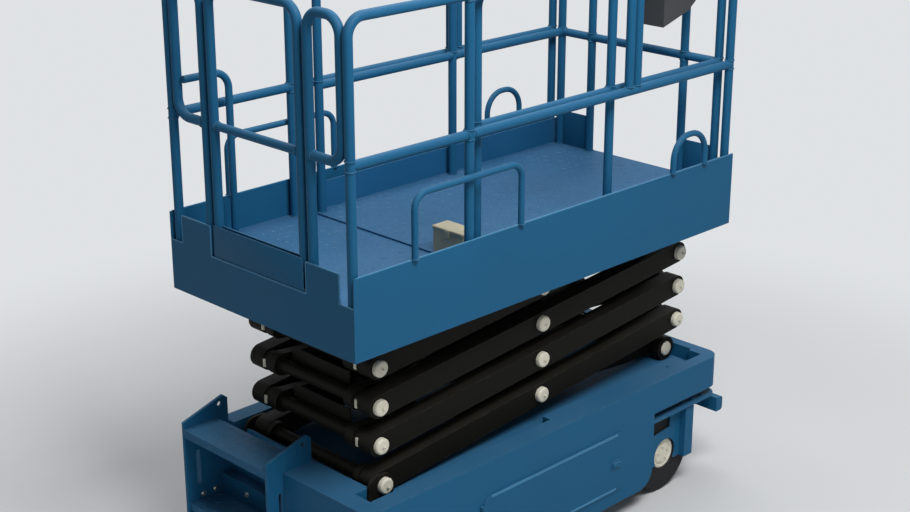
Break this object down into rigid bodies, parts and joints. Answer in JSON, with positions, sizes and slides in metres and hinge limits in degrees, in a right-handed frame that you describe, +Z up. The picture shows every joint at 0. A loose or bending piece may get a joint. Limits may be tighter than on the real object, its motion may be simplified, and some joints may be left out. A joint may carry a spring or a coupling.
{
  "type": "self-propelled scissor lift with extension deck",
  "caption": "Electric slab scissor lift with railed platform, sliding extension deck, swing gate, stacked scissor arms and steered front wheels.",
  "frame": {"origin": "on the ground, at the middle of the overall length and width", "axes": "+X forward to the steered end, +Y to the left, +Z up"},
  "size_m": [2.33, 1.1366, 2.5239],
  "materials": {
    "blue_paint": "satin blue enamel on welded steel",
    "dark_paint": "semi-gloss dark grey-brown paint",
    "ivory_paint": "ivory enamel",
    "steel": "bare machined steel",
    "chrome": "hard chrome plated rod",
    "tyre_rubber": "solid black rubber",
    "deck_plate": "blue painted tread plate",
    "tan_plastic": "tan moulded plastic",
    "grey_plastic": "dark moulded plastic",
    "battery": "black battery cases"
  },
  "bodies": {
    "chassis": {"chassis_frame": "blue_paint", "chassis_side_left": "blue_paint", "chassis_side_right": "blue_paint", "base_pivots": "dark_paint", "rear_ladder": "blue_paint", "front_bumper": "blue_paint", "rear_axle": "steel"},
    "door_left": {"side_door_left": "blue_paint", "battery_tray_left": "battery"},
    "door_right": {"side_door_right": "blue_paint", "battery_tray_right": "battery"},
    "knuckle_left": {"steering_knuckle_left": "blue_paint"},
    "knuckle_right": {"steering_knuckle_right": "blue_paint"},
    "lift_barrel": {"lift_cylinder_barrel": "dark_paint"},
    "lift_rod": {"lift_cylinder_rod": "chrome"},
    "platform": {"platform_deck": "deck_plate", "upper_tracks": "blue_paint", "platform_skirt": "blue_paint", "side_rail_left": "blue_paint", "side_rail_right": "blue_paint", "rear_guard_left": "blue_paint", "rear_guard_right": "blue_paint", "skirt_hoops": "blue_paint", "grab_rail": "blue_paint"},
    "gate": {"entry_gate": "blue_paint"},
    "extension": {"extension_deck": "deck_plate", "extension_rail_left": "blue_paint", "extension_rail_right": "blue_paint", "front_guard": "blue_paint", "control_box": "grey_plastic", "document_box": "tan_plastic"},
    "wheel_front_left": {"tyre_front_left": "tyre_rubber", "wheel_hub_front_left": "ivory_paint"},
    "wheel_front_right": {"tyre_front_right": "tyre_rubber", "wheel_hub_front_right": "ivory_paint"},
    "wheel_rear_left": {"tyre_rear_left": "tyre_rubber", "wheel_hub_rear_left": "ivory_paint"},
    "wheel_rear_right": {"tyre_rear_right": "tyre_rubber", "wheel_hub_rear_right": "ivory_paint"},
    "outer_arms_1": {"outer_arms_1": "dark_paint", "arm_pins_1": "ivory_paint"},
    "inner_arms_1": {"inner_arms_1": "dark_paint", "lower_rollers": "ivory_paint", "cylinder_base_pin": "steel"},
    "outer_arms_2": {"outer_arms_2": "dark_paint", "arm_pins_2": "ivory_paint"},
    "inner_arms_2": {"inner_arms_2": "dark_paint"},
    "outer_arms_3": {"outer_arms_3": "dark_paint", "arm_pins_3": "ivory_paint"},
    "inner_arms_3": {"inner_arms_3": "dark_paint"},
    "outer_arms_4": {"outer_arms_4": "dark_paint", "arm_pins_4": "ivory_paint"},
    "inner_arms_4": {"inner_arms_4": "dark_paint"}
  },
  "joints": [
    {"name": "scissor_lift", "type": "hinge", "parent": "chassis", "child": "outer_arms_1", "pos_m": [-0.858, 0, 0.597], "axis": [0, -1, 0], "range_deg": [0, 60]},
    {"name": "centre_pivot_1", "type": "hinge", "parent": "outer_arms_1", "child": "inner_arms_1", "pos_m": [0.0729, 0, 0.67895], "axis": [0, -1, 0], "range_deg": [-120, 0]},
    {"name": "rear_pivot_1", "type": "hinge", "parent": "inner_arms_1", "child": "outer_arms_2", "pos_m": [-0.858, 0, 0.7609], "axis": [0, -1, 0], "range_deg": [0, 120]},
    {"name": "centre_pivot_2", "type": "hinge", "parent": "outer_arms_2", "child": "inner_arms_2", "pos_m": [0.0729, 0, 0.84285], "axis": [0, -1, 0], "range_deg": [-120, 0]},
    {"name": "rear_pivot_2", "type": "hinge", "parent": "inner_arms_2", "child": "outer_arms_3", "pos_m": [-0.858, 0, 0.9248], "axis": [0, -1, 0], "range_deg": [0, 120]},
    {"name": "centre_pivot_3", "type": "hinge", "parent": "outer_arms_3", "child": "inner_arms_3", "pos_m": [0.0729, 0, 1.00675], "axis": [0, -1, 0], "range_deg": [-120, 0]},
    {"name": "rear_pivot_3", "type": "hinge", "parent": "inner_arms_3", "child": "outer_arms_4", "pos_m": [-0.858, 0, 1.0887], "axis": [0, -1, 0], "range_deg": [0, 120]},
    {"name": "centre_pivot_4", "type": "hinge", "parent": "outer_arms_4", "child": "inner_arms_4", "pos_m": [0.0729, 0, 1.17065], "axis": [0, -1, 0], "range_deg": [-120, 0]},
    {"name": "platform_pivot", "type": "hinge", "parent": "inner_arms_4", "child": "platform", "pos_m": [-0.858, 0, 1.2526], "axis": [0, -1, 0], "range_deg": [0, 60]},
    {"name": "cylinder_base", "type": "hinge", "parent": "inner_arms_1", "child": "lift_barrel", "pos_m": [-0.48564, 0, 0.72812], "axis": [0, -1, 0], "range_deg": [0, 118.6]},
    {"name": "cylinder_stroke", "type": "slide", "parent": "lift_barrel", "child": "lift_rod", "axis": [0.9785, 0, 0.2063], "range_m": [0, 0.3394]},
    {"name": "extension_slide", "type": "slide", "parent": "platform", "child": "extension", "axis": [1, 0, 0], "range_m": [0, 0.9]},
    {"name": "gate_hinge", "type": "hinge", "parent": "platform", "child": "gate", "pos_m": [-1.0897, 0.28, 1.8], "axis": [0, 0, 1], "range_deg": [0, 90]},
    {"name": "door_hinge_left", "type": "hinge", "parent": "chassis", "child": "door_left", "pos_m": [-0.474, 0.5593, 0.3], "axis": [0, 0, 1], "range_deg": [0, 90]},
    {"name": "door_hinge_right", "type": "hinge", "parent": "chassis", "child": "door_right", "pos_m": [-0.474, -0.5593, 0.3], "axis": [0, 0, -1], "range_deg": [0, 90]},
    {"name": "steer_left", "type": "hinge", "parent": "chassis", "child": "knuckle_left", "pos_m": [0.785, 0.338, 0.3], "axis": [0, 0, 1], "range_deg": [-40, 40]},
    {"name": "steer_right", "type": "hinge", "parent": "chassis", "child": "knuckle_right", "pos_m": [0.785, -0.338, 0.3], "axis": [0, 0, 1], "range_deg": [-40, 40]},
    {"name": "wheel_spin_front_left", "type": "hinge", "parent": "knuckle_left", "child": "wheel_front_left", "pos_m": [0.785, 0.435, 0.19], "axis": [0, 1, 0], "continuous": true},
    {"name": "wheel_spin_rear_left", "type": "hinge", "parent": "chassis", "child": "wheel_rear_left", "pos_m": [-0.719, 0.435, 0.19], "axis": [0, 1, 0], "continuous": true},
    {"name": "wheel_spin_front_right", "type": "hinge", "parent": "knuckle_right", "child": "wheel_front_right", "pos_m": [0.785, -0.435, 0.19], "axis": [0, 1, 0], "continuous": true},
    {"name": "wheel_spin_rear_right", "type": "hinge", "parent": "chassis", "child": "wheel_rear_right", "pos_m": [-0.719, -0.435, 0.19], "axis": [0, 1, 0], "continuous": true}
  ],
  "couplings": [
    {"joint": "centre_pivot_1", "follows": "scissor_lift", "ratio": -2},
    {"joint": "rear_pivot_1", "follows": "scissor_lift", "ratio": 2},
    {"joint": "centre_pivot_2", "follows": "scissor_lift", "ratio": -2},
    {"joint": "rear_pivot_2", "follows": "scissor_lift", "ratio": 2},
    {"joint": "centre_pivot_3", "follows": "scissor_lift", "ratio": -2},
    {"joint": "rear_pivot_3", "follows": "scissor_lift", "ratio": 2},
    {"joint": "centre_pivot_4", "follows": "scissor_lift", "ratio": -2},
    {"joint": "platform_pivot", "follows": "scissor_lift", "ratio": 1},
    {"joint": "cylinder_base", "follows": "scissor_lift", "ratio": 1.9758},
    {"joint": "cylinder_stroke", "follows": "scissor_lift", "m_per_rad": 0.3239},
    {"joint": "steer_right", "follows": "steer_left", "ratio": 1}
  ]
}
